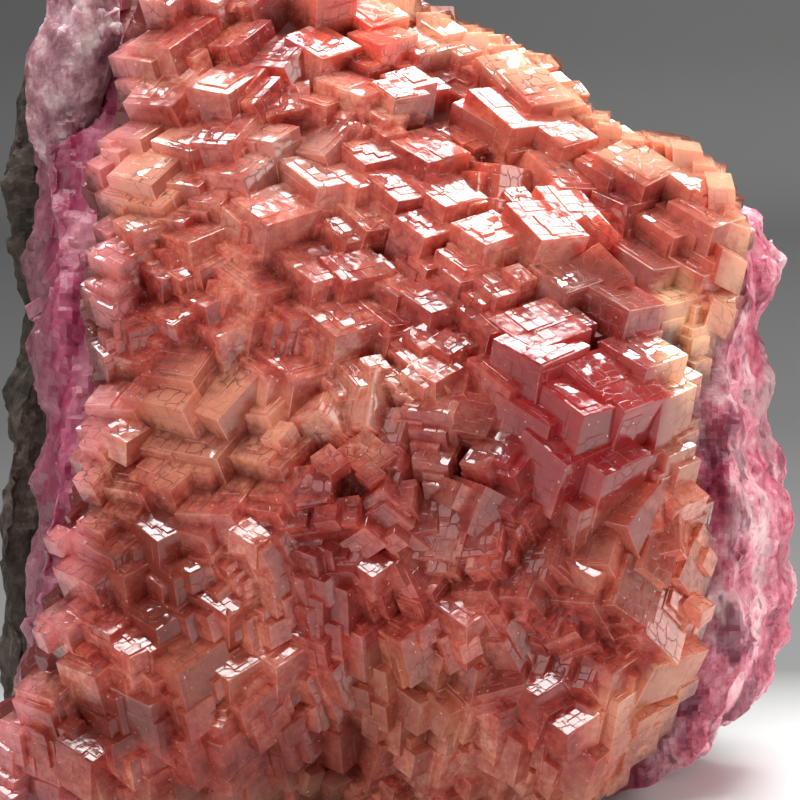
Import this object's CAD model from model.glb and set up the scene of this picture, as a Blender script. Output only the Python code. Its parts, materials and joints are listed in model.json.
# %% [markdown]
# # Cobaltoan calcite, a hand specimen
#
# The stone has four layers that grew on one another: a druse of salmon-red calcite rhombs in front, a band
# of massive hot-pink calcite behind it, a pale cleaved lump on its left shoulder, and the grey-brown host
# rock at the back. The frame gives each layer's form. This script gives each its real surface.

import json
import math
import random

import bpy
import numpy as np
from mathutils import Matrix, Vector, geometry, noise
from mathutils.bvhtree import BVHTree

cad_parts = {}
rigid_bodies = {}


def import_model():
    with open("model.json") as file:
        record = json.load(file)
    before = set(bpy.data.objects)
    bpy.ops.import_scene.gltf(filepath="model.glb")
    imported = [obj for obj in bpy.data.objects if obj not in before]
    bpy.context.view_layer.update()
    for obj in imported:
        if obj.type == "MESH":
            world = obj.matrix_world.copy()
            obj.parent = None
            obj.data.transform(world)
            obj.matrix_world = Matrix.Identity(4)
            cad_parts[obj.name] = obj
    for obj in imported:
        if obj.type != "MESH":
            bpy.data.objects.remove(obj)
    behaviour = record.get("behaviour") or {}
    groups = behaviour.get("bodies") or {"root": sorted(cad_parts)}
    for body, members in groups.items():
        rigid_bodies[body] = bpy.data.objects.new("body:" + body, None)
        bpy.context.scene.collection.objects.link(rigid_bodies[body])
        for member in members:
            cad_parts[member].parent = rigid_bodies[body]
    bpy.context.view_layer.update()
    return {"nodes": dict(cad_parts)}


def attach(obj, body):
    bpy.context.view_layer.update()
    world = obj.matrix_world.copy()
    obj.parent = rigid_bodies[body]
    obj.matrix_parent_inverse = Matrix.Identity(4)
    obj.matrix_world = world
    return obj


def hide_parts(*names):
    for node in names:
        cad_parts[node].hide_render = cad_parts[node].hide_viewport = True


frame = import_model()

# %% [markdown]
# ## Units
#
# A mineral specimen is thought of in millimetres, and Blender's unit is the metre. Everything below is
# worked out in millimetres, in the stone's own frame, and moved into the model's frame at the end.

# %% Millimetres
MM = 0.001
TO_CENTRE = Vector((1.0, -8.8, 0.0))
INTO_FRAME = Matrix.Scale(MM, 4) @ Matrix.Translation(TO_CENTRE)


def in_frame(x, y, z):
    """A point given in millimetres in the stone's frame, as metres in the model's."""
    return INTO_FRAME @ Vector((x, y, z))


# %% [markdown]
# ## Camera
#
# The picture is a close-up from a little above, taken with a long lens, so the crystals hardly converge.
# The lens follows from how much of the stone the frame takes in at its distance.

# %% The camera
CAMERA_TARGET = in_frame(0.0, -6.0, 46.0)
CAMERA_DISTANCE = 520 * MM
CAMERA_RISE = math.radians(11)
FRAME_WIDTH = 90 * MM

camera = bpy.data.objects.new("camera", bpy.data.cameras.new("camera"))
bpy.context.scene.collection.objects.link(camera)
camera.location = CAMERA_TARGET + CAMERA_DISTANCE * Vector((0, -math.cos(CAMERA_RISE), math.sin(CAMERA_RISE)))
camera.rotation_euler = (math.pi / 2 - CAMERA_RISE, 0, 0)
camera.data.lens = camera.data.sensor_width * CAMERA_DISTANCE / FRAME_WIDTH
camera.data.clip_start, camera.data.clip_end = 0.01, 20
bpy.context.scene.camera = camera
print("lens:", round(camera.data.lens), "mm")

# %% [markdown]
# ## Light
#
# Calcite's cleavage faces are mirrors, and the ones that look up shine white because they show the softbox
# that hangs behind and above the stone. It also lights the thin rim of the druse from behind, which glows
# peach. A large dim box in front and to the right fills the rest, so that the left side is darker.

# %% The softboxes
def softbox(name, azimuth, rise, distance, width, height, radiance, tint=(1, 1, 1)):
    """A rectangular light aimed at the stone. Azimuth 0 is behind it and 90 is to its right."""
    lamp = bpy.data.lights.new(name, "AREA")
    lamp.shape = "RECTANGLE"
    lamp.size, lamp.size_y = width, height
    lamp.energy = radiance * math.pi * width * height
    lamp.color = tint
    made = bpy.data.objects.new(name, lamp)
    bpy.context.scene.collection.objects.link(made)
    turn, up = math.radians(azimuth), math.radians(rise)
    direction = Vector((math.sin(turn) * math.cos(up), math.cos(turn) * math.cos(up), math.sin(up)))
    made.location = CAMERA_TARGET + distance * direction
    made.rotation_euler = direction.to_track_quat("Z", "Y").to_euler()
    return made


softbox("top_box", 3, 58, 0.60, 0.66, 0.13, 19.0)
softbox("overhead_box", 0, 80, 0.60, 0.50, 0.07, 17.0)
softbox("forward_box", 180, 78, 0.60, 0.50, 0.08, 16.0)
softbox("right_box", 90, 20, 0.80, 0.40, 0.50, 5.5, (1.0, 0.95, 0.9))
softbox("front_box", 228, 26, 1.00, 0.80, 0.60, 1.9)

bpy.context.scene.view_settings.view_transform = "Standard"
world = bpy.data.worlds.new("studio")
world.use_nodes = True
world.node_tree.nodes["Background"].inputs["Color"].default_value = (0.12, 0.12, 0.12, 1)
world.node_tree.nodes["Background"].inputs["Strength"].default_value = 1.0
bpy.context.scene.world = world

# %% [markdown]
# ## A small language for materials
#
# A material is easier to read as sums than as a web of nodes. `Wire` stands for one socket, and adding or
# multiplying wires adds the Math nodes. `Finish` makes a material and has the one method that adds a node.

# %% Wires and finishes
class Wire:
    """One output of a node, which can be used in sums."""

    def __init__(self, finish, socket):
        self.finish, self.socket = finish, socket

    def maths(self, operation, first, second=0.0):
        return self.finish.maths(operation, first, second)

    def output(self, name):
        """Another output of the same node."""
        return Wire(self.finish, self.socket.node.outputs[name])

    def __add__(self, other):
        return self.maths("ADD", self, other)

    def __radd__(self, other):
        return self.maths("ADD", other, self)

    def __sub__(self, other):
        return self.maths("SUBTRACT", self, other)

    def __rsub__(self, other):
        return self.maths("SUBTRACT", other, self)

    def __mul__(self, other):
        return self.maths("MULTIPLY", self, other)

    def __rmul__(self, other):
        return self.maths("MULTIPLY", other, self)

    def __truediv__(self, other):
        return self.maths("DIVIDE", self, other)

    def __pow__(self, other):
        return self.maths("POWER", self, other)


class Finish:
    """A material whose nodes are added one call at a time."""

    def __init__(self, name):
        self.material = bpy.data.materials.new(name)
        self.material.use_nodes = True
        self.tree = self.material.node_tree
        self.shader = self.tree.nodes["Principled BSDF"]
        place = self.node("TexCoord", output="Object")
        self.spot = self.vector("SCALE", place, scale=1 / MM)
        sway_size, sway_reach = 8.0, 9.0
        drift = self.vector("SUBTRACT", self.noise(self.spot, sway_size, 1.0, output=1), (0.5, 0.5, 0.5))
        self.ragged = self.vector("ADD", self.spot, self.vector("SCALE", drift, scale=sway_reach))

    def node(self, kind, settings=None, inputs=None, output=0):
        made = self.tree.nodes.new("ShaderNode" + kind)
        for name, value in (settings or {}).items():
            if name == "stops":
                self.set_stops(made.color_ramp, value)
            else:
                setattr(made, name, value)
        for name, value in (inputs or {}).items():
            self.plug(made.inputs[name], value)
        return Wire(self, made.outputs[output])

    def plug(self, socket, value):
        if isinstance(value, Wire):
            self.tree.links.new(value.socket, socket)
        elif socket.type == "RGBA" and len(value) == 3:
            socket.default_value = (*value, 1.0)
        else:
            socket.default_value = value

    def set_stops(self, ramp, stops):
        while len(ramp.elements) < len(stops):
            ramp.elements.new(0.5)
        for element, (position, shade) in zip(ramp.elements, stops):
            element.position = position
            element.color = (*shade, 1.0)

    def set(self, **values):
        for name, value in values.items():
            self.plug(self.shader.inputs[name.replace("_", " ")], value)

    def maths(self, operation, first, second=0.0):
        return self.node("Math", {"operation": operation}, {0: first, 1: second})

    def vector(self, operation, first, second=(0, 0, 0), scale=1.0):
        return self.node("VectorMath", {"operation": operation}, {0: first, 1: second, 3: scale})

    def noise(self, spot, size, detail=3.0, rough=0.55, twist=0.0, output=0):
        inputs = {"Vector": spot, "Scale": 1 / size, "Detail": detail, "Roughness": rough, "Distortion": twist}
        return self.node("TexNoise", inputs=inputs, output=output)

    def cells(self, spot, size, feature="F1", output=0, distance="EUCLIDEAN", random=1.0, plane=False):
        settings = {"feature": feature, "voronoi_dimensions": "2D" if plane else "3D"}
        if feature in ("F1", "F2"):
            settings["distance"] = distance
        inputs = {"Vector": spot, "Scale": 1 / size, "Randomness": random}
        return self.node("TexVoronoi", settings, inputs, output)

    def ease(self, value, low, high, to_low=0.0, to_high=1.0):
        """A smooth step from one value to another as the input goes from low to high."""
        inputs = {"Value": value, 1: low, 2: high, 3: to_low, 4: to_high}
        return self.node("MapRange", {"interpolation_type": "SMOOTHSTEP"}, inputs)

    def mix(self, share, first, second, blend="MIX"):
        """A mix of two colours."""
        return self.node("Mix", {"data_type": "RGBA", "blend_type": blend}, {0: share, 6: first, 7: second}, 2)

    def ramp(self, value, stops):
        return self.node("ValToRGB", {"stops": stops}, {0: value})

    def zone(self, x, z, wide, tall, strength=1.0):
        """A ragged oval patch of the front, at its full strength inside. X and z are in the stone's frame."""
        middle = Vector((x, 0, z)) + TO_CENTRE
        inputs = {0: self.ragged, 1: (1 / wide, 0, 1 / tall), 2: (-middle.x / wide, 0, -middle.z / tall)}
        shares = self.node("VectorMath", {"operation": "MULTIPLY_ADD"}, inputs)
        apart = self.node("VectorMath", {"operation": "LENGTH"}, {0: shares}, "Value")
        return self.ease(apart, 0.55, 1.25, strength, 0.0)

    def attribute(self, name):
        return self.node("Attribute", {"attribute_name": name}, output="Fac")


def colour(code):
    """Linear values of a colour written as six hexadecimal digits."""
    parts = [int(code[k:k + 2], 16) / 255 for k in (0, 2, 4)]
    return tuple(part / 12.92 if part <= 0.04045 else ((part + 0.055) / 1.055) ** 2.4 for part in parts)


# %% [markdown]
# ## Floor and backdrop
#
# The stone stands on a plain pale sheet that curves up behind it. The sheet is pale where it lies and grey
# where it rises, so the picture goes from near white at the lower right to mid grey at the top.

# %% The sweep
SWEEP_DEPTH, SWEEP_WIDTH, SWEEP_HEIGHT = 1.4, 4.0, 1.6

bpy.ops.object.select_all(action="DESELECT")
bpy.ops.mesh.primitive_plane_add(size=1)
sweep = bpy.context.object
sweep.name = "sweep"
sweep.scale = (SWEEP_WIDTH, 2 * SWEEP_DEPTH, 1)
bpy.ops.object.transform_apply(location=True, rotation=True, scale=True)
bpy.ops.object.mode_set(mode="EDIT")
bpy.ops.mesh.select_all(action="DESELECT")
bpy.ops.mesh.select_mode(type="EDGE")
bpy.ops.object.mode_set(mode="OBJECT")
for edge in sweep.data.edges:
    edge.select = all(sweep.data.vertices[k].co.y > 0 for k in edge.vertices)
bpy.ops.object.mode_set(mode="EDIT")
bpy.ops.mesh.extrude_region_move(TRANSFORM_OT_translate={"value": (0, 0, SWEEP_HEIGHT)})
bpy.ops.mesh.select_all(action="DESELECT")
bpy.ops.object.mode_set(mode="OBJECT")
for edge in sweep.data.edges:
    ends = [sweep.data.vertices[k].co for k in edge.vertices]
    edge.select = all(end.y > 0 and end.z < SWEEP_HEIGHT / 2 for end in ends)
bpy.ops.object.mode_set(mode="EDIT")
bpy.ops.mesh.bevel(offset=0.7, segments=24, affect="EDGES")
bpy.ops.object.mode_set(mode="OBJECT")
bpy.ops.object.shade_smooth()

paper = Finish("pale paper")
back = paper.node("SeparateXYZ", inputs={0: paper.spot}, output=1)
paper.set(Roughness=0.6, Specular_IOR_Level=0.1)
greys = [(0.0, 0.78), (0.043, 0.17), (0.2, 0.09), (0.40, 0.075), (0.484, 0.12), (0.85, 0.27)]
greys = [(place, (grey,) * 3) for place, grey in greys]
side = paper.ease(paper.node("SeparateXYZ", inputs={0: paper.spot}), -120, 120, 0.0, 1.0)
sides = paper.ramp(side, [(0, (0.75,) * 3), (1, (1.1,) * 3)])
paper.set(Base_Color=paper.mix(1.0, paper.ramp(back / 1000, greys), sides, "MULTIPLY"))
sweep.data.materials.append(paper.material)

# %% [markdown]
# ## How the druse grew
#
# A calcite cleavage rhomb is a cube pressed together along its body diagonal. The crystals of the druse
# stand on a domed crust in patches, and within a patch they all point nearly the same way. The same rule
# that set out the frame's crystals is repeated here, so that the fine crystals fall on the coarse ones.

# %% The crust's outline and surface
MIDDLE = Vector((0.0, 46.0))
FAR = 200.0
CRUST_RIM = [
    (-28, 94), (-30.5, 83.5), (-31, 76), (-33.5, 69.5), (-33, 64), (-35, 57.5), (-33, 48), (-34, 41),
    (-36.5, 30), (-38.5, 20), (-42, 12.5), (-45, 6), (-41, 3), (-32.5, 2), (-24, 1.6), (-16, 3), (-7, 2.2),
    (4, 1.2), (15, 2.4), (24, 5), (30, 12), (33, 22), (33.5, 31), (31.5, 40), (32, 49), (36.5, 55.5),
    (38.5, 64), (37, 68.5), (33, 72.5), (25.5, 74), (19.5, 78), (15.5, 82.5), (7, 85.5), (0, 89),
    (-8, 94.5), (-17.5, 95.5),
]
LEAN_FROM, LEAN_OVER, LEAN_SLOPE = 28.0, 26.0, 0.56
CRUST_RIM_Y = -15.0
CRUST_BULGE, BULGE_POWER = 8.0, 2.2
CRUST_RIPPLE, RIPPLE_GRAIN = 1.2, 11.0
STEP_FROM, STEP_TO = Vector((-2.0, 83.5)), Vector((33.0, 50.0))
STEP_DEPTH, STEP_WIDTH = 4.5, 5.0
SWELLINGS = [((20, 45), 13, 3.0), ((-26, 12), 12, 2.5), ((-22, 60), 10, 2.0), ((22, 16), 12, 1.8)]


def smooth_step(share):
    share = min(1.0, max(0.0, share))
    return share * share * (3 - 2 * share)


def sway(x, z, grain, layer):
    """A smooth wander of about -1 to 1. Grain is the size of its swells, and layer picks one of many."""
    to_full_range, between_layers = 1.6, 7.3
    return to_full_range * noise.noise(Vector((x / grain, layer * between_layers, z / grain)))


def reach(outline, angle):
    """How far a ray from the middle point goes before it leaves the outline."""
    far = MIDDLE + FAR * Vector((math.cos(angle), math.sin(angle)))
    corners = [Vector(corner) for corner in outline]
    sides = zip(corners, corners[1:] + corners[:1])
    hits = [geometry.intersect_line_line_2d(MIDDLE, far, a, b) for a, b in sides]
    hits = [hit for hit in hits if hit and (hit - MIDDLE).dot(far - MIDDLE) > 0]
    return max((hit - MIDDLE).length for hit in hits)


def lean(z):
    """How far back the layers lie at a height."""
    past = max(0.0, z - LEAN_FROM)
    turning = min(past, LEAN_OVER)
    return LEAN_SLOPE * (turning * turning / (2 * LEAN_OVER) + past - turning)


def crust_front(x, z):
    """The surface that the crystals stand on."""
    spot = Vector((x, z))
    offset = spot - MIDDLE
    edge = reach(CRUST_RIM, math.atan2(offset.y, offset.x))
    depth = CRUST_RIM_Y - CRUST_BULGE * (1 - min(1.0, offset.length / edge) ** BULGE_POWER)
    along = (STEP_TO - STEP_FROM).normalized()
    past_step = (spot - STEP_FROM).dot(Vector((-along.y, along.x)))
    depth += STEP_DEPTH * smooth_step(0.5 + past_step / STEP_WIDTH)
    for middle, radius, height in SWELLINGS:
        depth -= height * math.exp(-((spot - Vector(middle)).length / radius) ** 2)
    return depth - CRUST_RIPPLE * sway(x, z, RIPPLE_GRAIN, 3) + lean(z)


def room_inside(place):
    """How far inside the rim a point lies."""
    offset = Vector((place.x, place.z)) - MIDDLE
    return reach(CRUST_RIM, math.atan2(offset.y, offset.x)) - offset.length


# %% Patches of crystals that point the same way
RHOMB_SQUASH = 0.697
CRYSTAL_SPACING = 5.3
CRYSTAL_FIELD = 100.0
CRYSTAL_JITTER = 0.32
CRYSTAL_SIZES = 0.88, 1.16
EDGES_VARY = 0.84, 1.18
LIFT_VARIES = 0.06
LEAST_ROOM = 0.3
RIM_EDGE, RIM_GROWTH = 2.4, 1.0
STRAY_SHARE, STRAY_DEGREES, STRAY_SIZE = 0.05, 20, 0.85

# The middle (x, z), the way the three-fold axis points (degrees right, degrees up), the turn about it, the
# edge length, how far the axes wander, and how far crystals stand out, as a share of their size.
PATCHES = {
    "upper_left": ((-19, 76), (-6, 21), 17, 6.0, 4, 0.10),
    "left_shoulder": ((-29, 61), (-18, 16), 8, 5.8, 5, 0.06),
    "bright_band": ((-11, 58.5), (-2, 17), -13, 6.2, 3, 0.12),
    "middle": ((3, 62), (4, 18), -14, 5.6, 3, 0.10),
    "top_crest": ((-4, 83.5), (4, 23), -6, 6.0, 5, 0.04),
    "upper_right": ((14, 71.5), (8, 19), -16, 6.3, 5, 0.08),
    "right_shoulder": ((29, 62), (15, 18), -12, 6.3, 5, 0.08),
    "raspberry_heart": ((21, 46), (7, 11), -12, 7.3, 4, 0.12),
    "smooth_window": ((-20, 44), (-8, 8), 20, 7.4, 4, -0.10),
    "tangle": ((4, 40), (2, 4), 28, 5.4, 14, 0.08),
    "lower_left": ((-25, 26), (-10, 8), 9, 6.0, 5, 0.06),
    "lower_middle": ((-3, 22), (-2, 8), 12, 5.8, 6, 0.08),
    "blades": ((17, 27), (9, 2), 34, 6.0, 11, 0.10),
    "lower_right": ((24, 14), (12, 7), -9, 6.6, 5, 0.08),
    "foot_left": ((-30, 9), (-6, 9), 13, 6.2, 5, 0.08),
    "foot_middle": ((2, 8), (2, 8), -12, 6.0, 6, 0.06),
}
PATCH_GIVE, PATCH_GIVE_GRAIN = 4.0, 9.0


def patch_at(spot):
    """The patch whose middle is nearest, with a little give so that patches meet on ragged lines."""
    give = PATCH_GIVE * Vector([sway(*spot, PATCH_GIVE_GRAIN, layer) for layer in (4, 5)])
    return min(PATCHES.values(), key=lambda patch: (Vector(patch[0]) - spot - give).length)


def growth_frame(axis_turn, axis_rise, spin):
    """A rotation that points a rhomb's three-fold axis, and turns one of its faces to look up."""
    turn, rise = math.radians(axis_turn), math.radians(axis_rise)
    axis = Vector((math.sin(turn) * math.cos(rise), -math.cos(turn) * math.cos(rise), math.sin(rise)))
    up = (Vector((0, 0, 1)) - axis * axis.z).normalized()
    up.rotate(Matrix.Rotation(math.radians(spin), 3, axis))
    return Matrix((up.cross(axis), up, axis)).transposed()


def rhomb_axes(frame_of_growth):
    """The directions of a rhomb's three edges, as the columns of a matrix."""
    third, first = Vector((1, 1, 1)).normalized(), Vector((-1, -1, 2)).normalized()
    stand_on_corner = Matrix((first.cross(third), first, third))
    return frame_of_growth @ Matrix.Diagonal((1, 1, RHOMB_SQUASH)) @ stand_on_corner


def crystal_spots(dice):
    """Crystals over the whole front, on staggered rows. Yields place, edge directions and edge lengths."""
    row_step = CRYSTAL_SPACING * math.sqrt(3) / 2
    for row in range(int(CRYSTAL_FIELD / row_step) + 1):
        for column in range(int(CRYSTAL_FIELD / CRYSTAL_SPACING) + 1):
            along, up = (dice.uniform(-CRYSTAL_JITTER, CRYSTAL_JITTER) for _ in range(2))
            x = CRYSTAL_SPACING * (column + 0.5 * (row % 2) + along) - CRYSTAL_FIELD / 2
            z = row_step * (row + up)
            offset = Vector((x, z)) - MIDDLE
            room = reach(CRUST_RIM, math.atan2(offset.y, offset.x)) - offset.length
            _, (turn, rise), spin, edge, wander, lift = patch_at(Vector((x, z)))
            if dice.random() < STRAY_SHARE:
                wander, edge = STRAY_DEGREES, STRAY_SIZE * edge
            growth = growth_frame(*(angle + dice.gauss(0, wander) for angle in (turn, rise, spin)))
            edge = min(edge * dice.uniform(*CRYSTAL_SIZES), RIM_EDGE + RIM_GROWTH * max(0.0, room))
            edges = [edge * dice.uniform(*EDGES_VARY) for _ in range(3)]
            stand_out = lift + dice.uniform(-LIFT_VARIES, LIFT_VARIES)
            if room > LEAST_ROOM * edge:
                yield Vector((x, crust_front(x, z) - stand_out * edge, z)), rhomb_axes(growth), edges


spots = list(crystal_spots(random.Random(13)))
print("crystals:", len(spots))

# %% [markdown]
# ## One block, many crystals
#
# Each crystal is a bundle of small blocks in parallel position: a core, and thin blocks that stand a
# little proud of its three front faces, which gives the stepped and broken faces of the real druse. One
# block with narrow bevels is modelled, and every other is a copy of it, stretched along the crystal's own
# edges. Its UV map runs along those edges, in millimetres, so that the cracks follow the cleavage. Each
# face also carries its own tone, because what shines through a crystal differs from face to face.

# %% The block
BLOCK_BEVEL = 0.011
TOP = 2
EDGE_TONE = 0.8

bpy.ops.object.select_all(action="DESELECT")
bpy.ops.mesh.primitive_cube_add(size=1)
block = bpy.context.object
block.name = "block"
bpy.ops.object.mode_set(mode="EDIT")
bpy.ops.mesh.select_all(action="SELECT")
bpy.ops.mesh.bevel(offset=BLOCK_BEVEL, segments=1, affect="EDGES")
bpy.ops.object.mode_set(mode="OBJECT")
block_mesh = block.data.copy()
bpy.data.objects.remove(block)
while block_mesh.uv_layers:
    block_mesh.uv_layers.remove(block_mesh.uv_layers[0])


def across(face):
    """Which of the block's three directions a face looks along."""
    return max(range(3), key=lambda k: abs(face.normal[k]))


corners = [(block_mesh.vertices[block_mesh.loops[k].vertex_index].co, across(face))
           for face in block_mesh.polygons for k in face.loop_indices]
uv_axes = np.array([[k for k in range(3) if k != axis] for _, axis in corners])
uv_spots = np.array([[place[k] for k in range(3) if k != axis] for place, axis in corners])
is_edge = np.array([max(map(abs, face.normal)) < 0.99 for face in block_mesh.polygons])
face_axis = np.array([across(face) for face in block_mesh.polygons])


def new_layer(mesh, name, values, domain):
    layer = mesh.attributes.new(name, "FLOAT", domain)
    layer.data.foreach_set("value", np.asarray(values, np.float32))


def place_block(group, axes, place, size, tones, slide):
    """Adds a copy of the block to a collection. Axes has the edge directions, size the three edge lengths."""
    mesh = block_mesh.copy()
    mesh.transform(INTO_FRAME @ Matrix.Translation(place) @ axes.to_4x4() @ Matrix.Diagonal((*size, 1)))
    flat = uv_spots * np.array(size)[uv_axes] + slide
    mesh.uv_layers.new(name="Cleavage").uv.foreach_set("vector", flat.astype(np.float32).ravel())
    new_layer(mesh, "tone", np.where(is_edge, EDGE_TONE, np.array(tones)[face_axis]), "FACE")
    new_layer(mesh, "ledge", face_axis == TOP, "FACE")
    group.objects.link(bpy.data.objects.new(mesh.name, mesh))


def bare_copy(node, name):
    """A copy of one of the frame's solids with its loose triangles joined."""
    bpy.ops.object.select_all(action="DESELECT")
    made = bpy.data.objects.new(name, frame["nodes"][node].data.copy())
    bpy.context.scene.collection.objects.link(made)
    made.data.materials.clear()
    while made.data.uv_layers:
        made.data.uv_layers.remove(made.data.uv_layers[0])
    bpy.context.view_layer.objects.active = made
    made.select_set(True)
    bpy.ops.object.mode_set(mode="EDIT")
    bpy.ops.mesh.select_all(action="SELECT")
    bpy.ops.mesh.remove_doubles(threshold=1e-6)
    bpy.ops.object.mode_set(mode="OBJECT")
    return made


def apply(piece, modifier):
    """Applies one modifier of a piece."""
    bpy.context.view_layer.objects.active = piece
    bpy.ops.object.modifier_apply(modifier=modifier.name)


def fuse(piece, group):
    """Joins every object of a collection to the piece, in one skin, and removes them."""
    modifier = piece.modifiers.new("fuse", "BOOLEAN")
    modifier.operation = "UNION"
    modifier.solver = "MANIFOLD"
    modifier.operand_type = "COLLECTION"
    modifier.collection = group
    apply(piece, modifier)
    for used in list(group.objects):
        bpy.data.meshes.remove(used.data)
    bpy.data.collections.remove(group)


def stand(piece):
    """Cuts a piece off flat where it stands."""
    bpy.ops.object.select_all(action="DESELECT")
    bpy.context.view_layer.objects.active = piece
    piece.select_set(True)
    bpy.ops.object.mode_set(mode="EDIT")
    bpy.ops.mesh.select_all(action="SELECT")
    bpy.ops.mesh.bisect(plane_co=(0, 0, 0), plane_no=(0, 0, 1), use_fill=True, clear_inner=True)
    bpy.ops.object.mode_set(mode="OBJECT")


def new_group(name):
    group = bpy.data.collections.new(name)
    bpy.context.scene.collection.children.link(group)
    return group


# %% The blocks of every crystal
CORE_SIZE = 1.012
STEP_SIZES = 0.25, 0.7
STEP_HEIGHTS = (0.006, 0.018), (0.006, 0.018), (0.010, 0.045)
STEP_THICKNESS = 0.3
STEPS_ON_FACE = 1, 1, 4
FACE_TONES = (0.35, 1.0), (0.0, 0.65), (0.2, 0.8)  # the face that looks left, right and up


def grow(group, place, axes, edges, dice, steps=STEPS_ON_FACE):
    """One crystal: a core, and blocks that stand a little proud of the three faces that look out."""
    tones = [dice.uniform(*tones) for tones in FACE_TONES]
    place_block(group, axes, place, [CORE_SIZE * edge for edge in edges], tones, dice.uniform(0, 100))
    for face in range(3):
        for _ in range(steps[face]):
            size = [dice.uniform(*STEP_SIZES) for _ in range(3)]
            middle = [dice.uniform(-1, 1) * (0.5 - half / 2) for half in size]
            size[face] = STEP_THICKNESS
            middle[face] = 0.5 + dice.uniform(*STEP_HEIGHTS[face]) - STEP_THICKNESS / 2
            spot = place + axes @ Vector([edge * share for edge, share in zip(edges, middle)])
            sides = [edge * share for edge, share in zip(edges, size)]
            place_block(group, axes, spot, sides, tones, dice.uniform(0, 100))


druse = new_group("druse")
dice = random.Random(4)
for place, axes, edges in spots:
    grow(druse, place, axes, edges, dice)

# %% [markdown]
# ## Small crystals
#
# Small crystals fill the hollows between the large ones. A ray from the front finds the surface, and where
# that lies deep enough a small crystal grows in nearly the directions of the nearest large one.

# %% Later crystals on the druse
SECOND_COUNT = 820
SECOND_SIZES = 2.4, 5.0
TIP_REACH = 0.604  # from a rhomb's middle to its tip, against its edge
TIPS_STAND, TIPS_VARY = 3.3, 0.6  # how far the tips stand before the crust's surface
SECOND_STEPS = 0, 0, 2
SMALL_COUNT = 420
SMALL_SIZES = 0.9, 2.6
SMALL_DEPTH = 0.4
FOLLOWING_DEGREES = 2.5
# Where the second crystals are rare: middle (x, z), radius.
PLAIN_PLACES = [((21, 47), 10), ((-20, 45), 12), ((-12, 90), 9)]
PLAIN_SHARE = 0.15

crust = bare_copy("crystal_crust", "druse_of_rhombs")
points = [vertex.co.copy() for vertex in crust.data.vertices]
coarse = BVHTree.FromPolygons(points, [face.vertices[:] for face in crust.data.polygons])


def surface_spots(dice, count, wanted):
    """Places that a ray from the front meets, each with nearly the nearest crystal's axes."""
    found = 0
    while found < count:
        x, z = dice.uniform(-46, 40), dice.uniform(1, 96)
        point, normal, _, _ = coarse.ray_cast(in_frame(x, -FAR, z), Vector((0, 1, 0)))
        if point is None:
            continue
        place = INTO_FRAME.inverted() @ point
        if not wanted(place):
            continue
        nearest = min(spots, key=lambda spot: (spot[0] - place).length)
        about = Vector([dice.gauss(0, 1) for _ in "xyz"])
        turn = Matrix.Rotation(math.radians(dice.gauss(0, FOLLOWING_DEGREES)), 3, about)
        yield place, turn @ nearest[1]
        found += 1


def plain(place):
    return any((Vector((place.x, place.z)) - Vector(middle)).length < size for middle, size in PLAIN_PLACES)


dice = random.Random(23)
for place, axes in surface_spots(dice, SECOND_COUNT, lambda place: not plain(place) or dice.random() < PLAIN_SHARE):
    size = min(dice.uniform(*SECOND_SIZES), RIM_EDGE + RIM_GROWTH * max(0.0, room_inside(place)))
    edges = [size * dice.uniform(*EDGES_VARY) for _ in "xyz"]
    outward = (axes @ Vector((1, 1, 1))).normalized()
    tip = Vector((place.x, crust_front(place.x, place.z) - dice.gauss(TIPS_STAND, TIPS_VARY), place.z))
    grow(druse, tip - TIP_REACH * size * outward, axes, edges, dice, SECOND_STEPS)

# Ledges that lie open and flash white in the photo: x, z and edge length.
OPEN_LEDGES = [
    (7.7, 25, 6.8), (14.7, 16.5, 5.0), (-13.6, 20.5, 6.6), (-18.3, 26, 5.4), (-15.6, 34, 4.0), (-3, 30.5, 3.4),
    (3.8, 51, 4.6), (-33.5, 8.5, 6.0), (-27.5, 7, 5.6), (18.5, 12.5, 4.2), (21, 30, 4.0), (-30, 44, 3.6),
]
LEDGE_TIPS, LEDGE_TURNS = 5.0, 6
UPPER_RISE, LOWER_RISE, LOWER_HALF = 11, 1, 40
dice = random.Random(29)
for x, z, size in OPEN_LEDGES:
    rise = (LOWER_RISE if z < LOWER_HALF else UPPER_RISE) + dice.gauss(0, 1)
    axes = rhomb_axes(growth_frame(dice.gauss(0, LEDGE_TURNS), rise, 0))
    edges = [size * dice.uniform(*EDGES_VARY) for _ in "xyz"]
    tip = Vector((x, crust_front(x, z) - LEDGE_TIPS, z))
    grow(druse, tip - TIP_REACH * size * (axes @ Vector((1, 1, 1))).normalized(), axes, edges, dice, (0, 0, 5))

# Crystals on the crust's side wall, pointing outwards, with their middles just under the wall's surface.
WALL_COUNT = 330
WALL_SIZES = 2.2, 4.4
WALL_DEPTHS = -13.5, -9.5
WALL_SUNK, WALL_TURNS = 0.25, 8
dice = random.Random(41)
for _ in range(WALL_COUNT):
    angle, size = dice.uniform(0, 2 * math.pi), dice.uniform(*WALL_SIZES)
    way = Vector((math.cos(angle), math.sin(angle)))
    flat = MIDDLE + (reach(CRUST_RIM, angle) - WALL_SUNK * size) * way
    place = Vector((flat.x, dice.uniform(*WALL_DEPTHS) + lean(flat.y), flat.y))
    if place.z < size:
        continue
    outward = math.degrees(math.atan2(way.x, 0.5)) + dice.gauss(0, WALL_TURNS)
    axes = rhomb_axes(growth_frame(outward, math.degrees(math.asin(way.y)) * 0.7, dice.gauss(0, WALL_TURNS)))
    grow(druse, place, axes, [size * dice.uniform(*EDGES_VARY) for _ in "xyz"], dice, (0, 0, 1))

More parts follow.
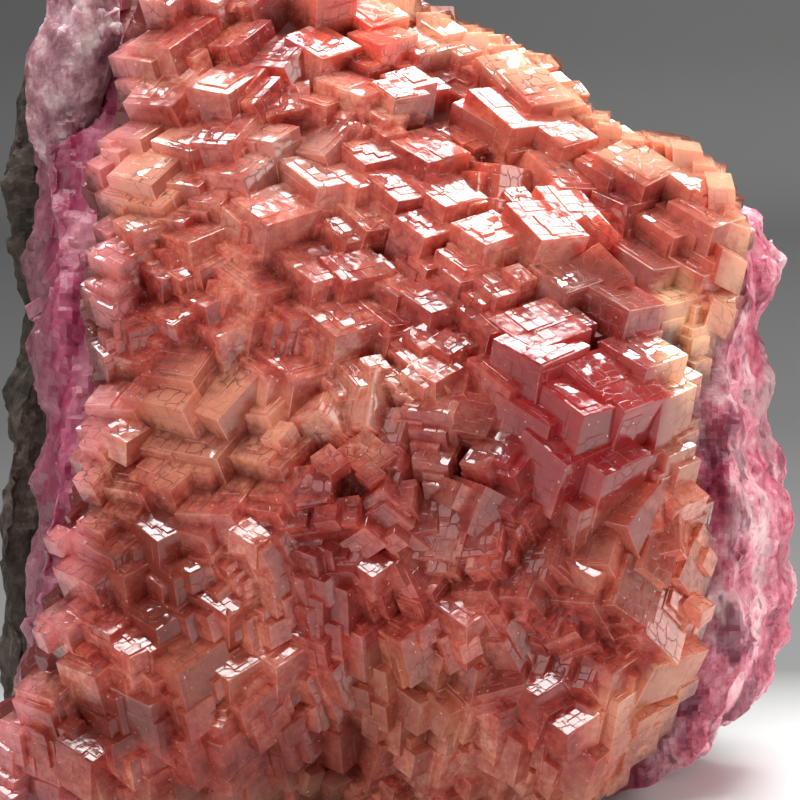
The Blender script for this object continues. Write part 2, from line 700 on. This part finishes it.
dice = random.Random(19)
in_hollows = surface_spots(dice, SMALL_COUNT, lambda place: place.y - crust_front(place.x, place.z) > SMALL_DEPTH)
for place, axes in in_hollows:
    edges = [dice.uniform(*SMALL_SIZES) * dice.uniform(*EDGES_VARY) for _ in "xyz"]
    grow(druse, place, axes, edges, dice, (0, 0, 0))

# %% The druse in one skin
def stand_out(place):
    """How far a point stands before the surface that the crystals grew on."""
    return crust_front(place.x, place.z) - place.y


fuse(crust, druse)
crust.data.materials.clear()
stand(crust)
places = [INTO_FRAME.inverted() @ vertex.co for vertex in crust.data.vertices]
new_layer(crust.data, "room", [room_inside(place) for place in places], "POINT")
new_layer(crust.data, "stand", [stand_out(place) for place in places], "POINT")
print("druse:", len(crust.data.polygons), "faces", sum(len(face.vertices) - 2 for face in crust.data.polygons))

# %% [markdown]
# ## Salmon calcite
#
# The crystals are cloudy and let light wander inside them, which is what subsurface scattering is for. The
# colour changes over the druse from salmon to raspberry, peach and orange. The faces that look up are
# broken into a mosaic of cleavage flakes, each tilted and raised a little, with dark red cracks between.

# %% The finish of the druse
salmon = Finish("salmon calcite")
cleavage = salmon.node("UVMap", {"uv_map": "Cleavage"})
tone = salmon.attribute("tone")
ledge = salmon.attribute("ledge")
room = salmon.attribute("room")
stands = salmon.attribute("stand")

wide = salmon.noise(salmon.spot, 12.0, 1.0)
fine = salmon.noise(salmon.spot, 1.4, 2.0, 0.75)
body = salmon.ramp(wide * 0.6 + fine * 0.4, [
    (0.36, colour("84302a")), (0.47, colour("aa4c42")), (0.55, colour("ba6454")), (0.66, colour("cc8a74"))])

# Where the druse differs from salmon: middle (x, z), half width and half height, colour and strength.
ZONES = [
    ((14, 72), 10, 7, "c4644e", 0.5),
    ((32, 67), 6, 8, "bb6454", 0.6),
    ((23, 61), 7, 3, "8c5046", 0.7),
    ((20, 47), 12, 12, "8a1c22", 0.92),
    ((-14, 90), 3, 8, "8a2430", 0.7),
    ((-5, 89), 7, 8, "e0614c", 0.85),
    ((-24, 93), 6, 3, "dcb48c", 0.8),
    ((8, 88), 5, 3, "e0b494", 0.8),
    ((-30, 71), 5, 6, "dc9a80", 0.8),
    ((-12, 73), 6, 4, "d09a88", 0.6),
    ((-21, 46), 12, 7, "d08a70", 0.75),
    ((5, 39), 9, 12, "863c3a", 0.6),
    ((-27, 30), 7, 9, "7c3a2c", 0.7),
    ((-32, 13), 8, 5, "6a281e", 0.8),
    ((27, 15), 6, 5, "d49a78", 0.6),
    ((31, 54), 3, 7, "e2b288", 0.95),
    ((22, 31), 9, 7, "8c4236", 0.6),
    ((0, 15), 9, 7, "94563e", 0.6),
    ((-10, 9), 8, 5, "742e26", 0.65),
    ((13, 19), 7, 5, "82302c", 0.6),
    ((-21, 19), 6, 6, "a2604a", 0.6),
    ((-8, 31), 6, 7, "7e2c28", 0.6),
]
for (x, z), wide_by, tall_by, code, share in ZONES:
    body = salmon.mix(salmon.zone(x, z, wide_by, tall_by, share), body, colour(code))

shade = salmon.ramp(tone, [(0, (0.62, 0.50, 0.52)), (0.5, (0.95, 0.90, 0.90)), (1, (1.2, 1.3, 1.25))])
body = salmon.mix(1.0, body, shade, "MULTIPLY")

x_place = salmon.node("SeparateXYZ", inputs={0: salmon.spot})
to_left = salmon.ease(x_place, -30, -22, 1.0, 0.0)
near_rim = salmon.ease(room + (wide - 0.5) * 9, 0.0, 4.0, 1.0, 0.0)
rim_shade = salmon.mix(to_left, colour("e6b692"), colour("d4868a"))
z_place = salmon.node("SeparateXYZ", inputs={0: salmon.spot}, output=2)
rim_strength = 0.22 + salmon.maths("MAXIMUM", salmon.ease(z_place, 44, 62), to_left) * 0.42
body = salmon.mix(near_rim * rim_strength, body, rim_shade)

# Specks of dust and small inclusions, pale on the faces and golden in the hollows.
speck = salmon.ease(salmon.noise(salmon.spot, 0.36, 0.0), 0.80, 0.87)
golden = salmon.ease(stands, 0.2, 2.0, 1.0, 0.15)
body = salmon.mix(speck * 0.7, body, salmon.mix(golden, colour("f0c4b0"), colour("d08a3a")))
hollow = salmon.ease(stands + (fine - 0.5) * 3, 0.2, 3.6, 0.85, 0.0)
body = salmon.mix(hollow, body, colour("56190f"))

# The mosaic of flakes on the faces that look up, and fainter on the others.
FLAKE = 1.7
flakes = {"size": FLAKE, "distance": "CHEBYCHEV", "random": 0.62, "plane": True}
nearest_flake = salmon.cells(cleavage, feature="F1", **flakes)
next_flake = salmon.cells(cleavage, feature="F2", **flakes)
flake_dice, flake_middle = nearest_flake.output("Color"), nearest_flake.output("Position")
broken = salmon.ease(salmon.noise(salmon.spot, 4.5, 0.0), 0.40, 0.58, 0.2, 1.0) * (ledge * 0.65 + 0.35)
crack = salmon.ease(next_flake - nearest_flake, 0.02, 0.11, 1.0, 0.0) * broken
inside = salmon.vector("SUBTRACT", cleavage, flake_middle)
tilt = salmon.node("VectorMath", {"operation": "DOT_PRODUCT"}, {
    0: inside, 1: salmon.vector("SUBTRACT", flake_dice, (0.5, 0.5, 0.5))}, "Value")
level = salmon.node("SeparateXYZ", inputs={0: flake_dice}, output=2)
body = salmon.mix(crack * 0.8, body, colour("661810"))

grain = salmon.noise(salmon.spot, 0.7, 0.0)
height = (level * 0.06 + tilt * 0.12) * broken - crack * 0.07 + grain * 0.012
bump = salmon.node("Bump", inputs={"Height": height, "Distance": MM, "Strength": 1.0})
salmon.set(
    Base_Color=body,
    Roughness=0.05 + fine * 0.10 + crack * 0.5,
    Normal=bump,
    IOR=1.62,
    Subsurface_Weight=0.8,
    Subsurface_Radius=(1.0, 0.28, 0.22),
    Subsurface_Scale=3.5 * MM,
    Specular_IOR_Level=0.45,
)
salmon.shader.subsurface_method = "BURLEY"
crust.data.materials.append(salmon.material)
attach(crust, "root")
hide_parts("crystal_crust")

# %% [markdown]
# ## The other layers
#
# The band, the lump and the rock start as copies of the frame's solids.

# %% Remeshed copies
def weathered(node, name, voxel, waves):
    """A copy of a solid with an even mesh, roughened by noise of several sizes."""
    made = bare_copy(node, name)
    made.data.remesh_voxel_size = voxel * MM
    bpy.ops.object.voxel_remesh()
    mesh = made.data
    count = len(mesh.vertices)
    points, normals = np.empty(count * 3), np.empty(count * 3)
    mesh.vertices.foreach_get("co", points)
    mesh.vertex_normals.foreach_get("vector", normals)
    points, normals = points.reshape(-1, 3), normals.reshape(-1, 3)
    for size, height, kind in waves:
        swell = np.array([kind(Vector(point) / (size * MM)) for point in points])
        points += (height * MM) * swell[:, None] * normals
    points[:, 2] = np.maximum(points[:, 2], 0.0)
    mesh.vertices.foreach_set("co", points.ravel())
    mesh.update()
    print(name + ":", len(mesh.polygons), "faces")
    return made


def soft_waves(spot):
    return noise.noise(spot)


def chipped_waves(spot):
    """Flat-bottomed cells with steps between them, as broken stone has."""
    return noise.cell(spot + 0.35 * noise.noise_vector(1.7 * spot)) - 0.5


# %% Slabs on a broken surface
RAY_START = 4 * MM


def split_faces(piece, node, count, sizes, thin, spread, sunk, chosen, dice):
    """Covers chosen parts of a piece with slabs of calcite, whose three-fold axes look nearly outwards.

    The remeshed skin has its faces in a new order in each run. So the places are drawn on the frame's solid,
    and a ray takes each to the skin.
    """
    solid = frame["nodes"][node].data
    faces = [face for face in solid.polygons if chosen(face.normal)]
    skin_points = [vertex.co.copy() for vertex in piece.data.vertices]
    skin = BVHTree.FromPolygons(skin_points, [face.vertices[:] for face in piece.data.polygons])
    slabs = new_group("slabs")
    for face in dice.choices(faces, weights=[face.area for face in faces], k=count):
        low, high = sorted((dice.random(), dice.random()))
        corners = [solid.vertices[k].co for k in face.vertices[:3]]
        spot = corners[0] * low + corners[1] * (high - low) + corners[2] * (1 - high)
        point, normal, _, _ = skin.ray_cast(spot + RAY_START * face.normal, -face.normal)
        if point is None:
            continue
        turn = math.degrees(math.atan2(normal.x, -normal.y)) + dice.gauss(0, spread)
        rise = math.degrees(math.asin(normal.z)) * 0.4 + 12 + dice.gauss(0, spread / 2)
        axes = rhomb_axes(growth_frame(turn, rise, dice.gauss(0, spread)))
        size = dice.uniform(*sizes)
        edges = [size * dice.uniform(0.7, 1.3), size * dice.uniform(0.7, 1.3), size * dice.uniform(*thin)]
        place = INTO_FRAME.inverted() @ point - normal * (0.42 * min(edges) + sunk * size)
        grow(slabs, place, axes, edges, dice, (0, 0, 1))
    fuse(piece, slabs)
    piece.data.materials.clear()
    stand(piece)
    print(piece.name + " with slabs:", len(piece.data.polygons), "faces")


# %% The band of massive pink calcite
band = weathered("cobalt_calcite", "pink_band", 0.65, [(7, 1.5, soft_waves), (3.2, 0.9, soft_waves),
                                                       (2.6, 0.3, chipped_waves), (1.3, 0.25, soft_waves)])
split_faces(band, "cobalt_calcite", 420, (1.6, 4.0), (0.3, 0.8), 14, 0.3,
            lambda normal: abs(normal.x) > 0.35 or normal.y < -0.5, random.Random(31))
pink = Finish("cobalt pink calcite")
tall = pink.vector("MULTIPLY", pink.spot, (1.0, 1.0, 0.45))
wide = pink.noise(tall, 5.5, 4.0, 0.62, 0.4)
fine = pink.noise(pink.spot, 1.3, 4.0, 0.7)
body = pink.ramp(wide * 0.7 + fine * 0.3, [
    (0.35, colour("8c2046")), (0.43, colour("c2506c")), (0.50, colour("dc869a")), (0.57, colour("eebcc2")),
    (0.68, colour("f8e2e0"))])
dull = pink.ease(pink.noise(pink.spot, 8.0, 3.0), 0.52, 0.66)
body = pink.mix(dull * 0.6, body, colour("8a5e64"))
streak = pink.ease(pink.noise(tall, 3.4, 3.0, 0.6), 0.38, 0.46, 1.0, 0.0)
body = pink.mix(streak * 0.75, body, colour("781a3e"))
x_place = pink.node("SeparateXYZ", inputs={0: pink.spot})
across = x_place + (wide - 0.5) * 14
left_shades = pink.ramp(pink.ease(across, -46, -28), [
    (0.0, colour("6e5654")), (0.22, colour("7c4a56")), (0.36, colour("861c44")), (0.60, colour("b83c6c")),
    (0.84, colour("d4788e")), (1.0, colour("dc9c8c"))])
body = pink.mix(pink.ease(x_place, -20, -30) * 0.8, body, left_shades)
body = pink.mix(1.0, body, pink.ramp(pink.attribute("tone"), [
    (0, (0.92, 0.90, 0.90)), (0.3, (0.75, 0.66, 0.7)), (1, (1.2, 1.3, 1.3))]), "MULTIPLY")
bump = pink.node("Bump", inputs={"Height": fine * 0.22, "Distance": MM, "Strength": 1.0})
pink.set(Base_Color=body, Roughness=0.16 + fine * 0.3, Normal=bump, IOR=1.6, Subsurface_Weight=0.6,
         Subsurface_Radius=(1.0, 0.4, 0.5), Subsurface_Scale=2.0 * MM, Specular_IOR_Level=0.45)
band.data.materials.append(pink.material)
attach(band, "root")
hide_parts("cobalt_calcite")

# %% The pale lump
lump = weathered("pale_calcite", "pale_lump", 0.35, [(3, 0.5, soft_waves), (1.6, 0.2, chipped_waves)])
split_faces(lump, "pale_calcite", 60, (1.8, 3.6), (0.3, 0.6), 6, 0.34,
            lambda normal: normal.y < -0.2, random.Random(37))
lilac = Finish("pale lilac calcite")
cloud = lilac.noise(lilac.spot, 3.0, 5.0, 0.65)
body = lilac.ramp(cloud, [(0.35, colour("86505c")), (0.5, colour("b4828a")), (0.66, colour("e0c6c6"))])
bump = lilac.node("Bump", inputs={"Height": cloud * 0.4, "Distance": MM, "Strength": 1.0})
lilac.set(Base_Color=body, Roughness=0.22 + cloud * 0.3, Normal=bump, IOR=1.6, Subsurface_Weight=0.9,
          Subsurface_Radius=(1.0, 0.6, 0.6), Subsurface_Scale=3.0 * MM)
lump.data.materials.append(lilac.material)
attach(lump, "root")
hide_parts("pale_calcite")

# %% The host rock
rock = weathered("host_rock", "grey_brown_rock", 0.75, [(9, 1.2, soft_waves), (4, 0.7, soft_waves),
                                                       (3, 0.4, chipped_waves), (1.6, 0.35, soft_waves)])
stone = Finish("grey brown host rock")
wide = stone.noise(stone.spot, 12.0, 5.0, 0.6)
fine = stone.noise(stone.spot, 1.5, 6.0, 0.7)
body = stone.ramp(wide * 0.5 + fine * 0.5, [
    (0.34, colour("140f0c")), (0.46, colour("34291f")), (0.56, colour("4e4138")), (0.7, colour("7a6b60"))])
bump = stone.node("Bump", inputs={"Height": fine * 0.6, "Distance": MM, "Strength": 1.0})
stone.set(Base_Color=body, Roughness=0.85, Normal=bump)
rock.data.materials.append(stone.material)
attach(rock, "root")
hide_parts("host_rock")
